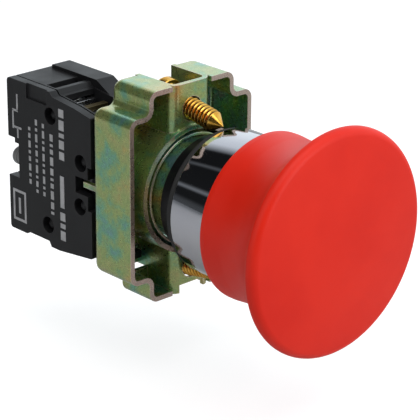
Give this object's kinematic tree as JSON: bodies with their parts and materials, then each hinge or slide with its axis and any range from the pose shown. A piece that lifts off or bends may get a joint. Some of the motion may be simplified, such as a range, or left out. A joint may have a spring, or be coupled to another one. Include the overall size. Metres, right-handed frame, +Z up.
{
  "type": "emergency stop button",
  "caption": "Panel-mounted push-pull emergency stop: red mushroom head, chromed bezel, pressed steel fixing collar with clamp screws and a plug-on normally closed contact block.",
  "frame": {"origin": "centre of the panel hole, in the front face of the panel, where the gasket's rear face seats", "axes": "-Y towards the operator, +Y into the enclosure along the button's axis, +Z up, +X to the operator's right"},
  "size_m": [0.04, 0.0719, 0.04],
  "materials": {
    "red_plastic": "satin moulded red",
    "brass": "drawn brass",
    "bare_steel": "bright zinc plated",
    "chromed_bezel": "mirror chrome",
    "black_plastic": "satin black moulding",
    "gasket_rubber": "matt black",
    "yellow_chromate": "yellow-green chromate over zinc",
    "gold_screw": "gold passivated",
    "silver_contact": "silver alloy",
    "grey_plastic": "grey moulding"
  },
  "bodies": {
    "root": {"bezel_ring": "chromed_bezel", "barrel": "yellow_chromate", "centring_sleeve": "black_plastic", "panel_gasket": "gasket_rubber", "stem_seal": "gasket_rubber", "detent_ball_left": "bare_steel", "detent_ball_right": "bare_steel", "detent_spring_left": "bare_steel", "detent_spring_right": "bare_steel", "detent_plug_left": "brass", "detent_plug_right": "brass", "fixing_collar": "yellow_chromate", "block_housing": "black_plastic", "block_cover": "black_plastic", "terminal_plate_top": "brass", "terminal_plate_bottom": "brass", "fixed_tip_top": "silver_contact", "fixed_tip_bottom": "silver_contact", "return_spring": "bare_steel"},
    "head": {"mushroom_cap": "red_plastic", "cap_insert": "brass", "push_stem": "bare_steel", "stem_clip": "bare_steel", "pusher_plate": "bare_steel"},
    "plunger": {"block_plunger": "grey_plastic", "bridge_contact": "brass", "bridge_tip_top": "silver_contact", "bridge_tip_bottom": "silver_contact", "contact_spring": "bare_steel"},
    "lock_ring": {"lock_ring": "yellow_chromate"},
    "clamp_screw_top": {"clamp_screw_top": "gold_screw"},
    "clamp_screw_bottom": {"clamp_screw_bottom": "gold_screw"},
    "terminal_screw_top": {"terminal_screw_top": "bare_steel", "clamp_saddle_top": "bare_steel"},
    "terminal_screw_bottom": {"terminal_screw_bottom": "bare_steel", "clamp_saddle_bottom": "bare_steel"}
  },
  "joints": [
    {"name": "head_push", "type": "slide", "parent": "root", "child": "head", "axis": [0, 1, 0], "range_m": [0, 0.0045]},
    {"name": "plunger_slide", "type": "slide", "parent": "root", "child": "plunger", "axis": [0, 1, 0], "range_m": [0, 0.0045], "deforming": ["return_spring"]},
    {"name": "lock_ring_turn", "type": "hinge", "parent": "root", "child": "lock_ring", "pos_m": [0, 0.0118, 0], "axis": [0, 1, 0], "range_deg": [0, 35]},
    {"name": "clamp_screw_top_travel", "type": "slide", "parent": "root", "child": "clamp_screw_top", "axis": [0, 0.9848, 0.1736], "range_m": [0, 0.0065]},
    {"name": "clamp_screw_bottom_travel", "type": "slide", "parent": "root", "child": "clamp_screw_bottom", "axis": [0, 0.9848, -0.1736], "range_m": [0, 0.0065]},
    {"name": "terminal_screw_top_travel", "type": "slide", "parent": "root", "child": "terminal_screw_top", "axis": [0, 1, 0], "range_m": [0, 0.002]},
    {"name": "terminal_screw_bottom_travel", "type": "slide", "parent": "root", "child": "terminal_screw_bottom", "axis": [0, 1, 0], "range_m": [0, 0.002]}
  ],
  "couplings": [
    {"joint": "plunger_slide", "follows": "head_push", "ratio": 1}
  ]
}
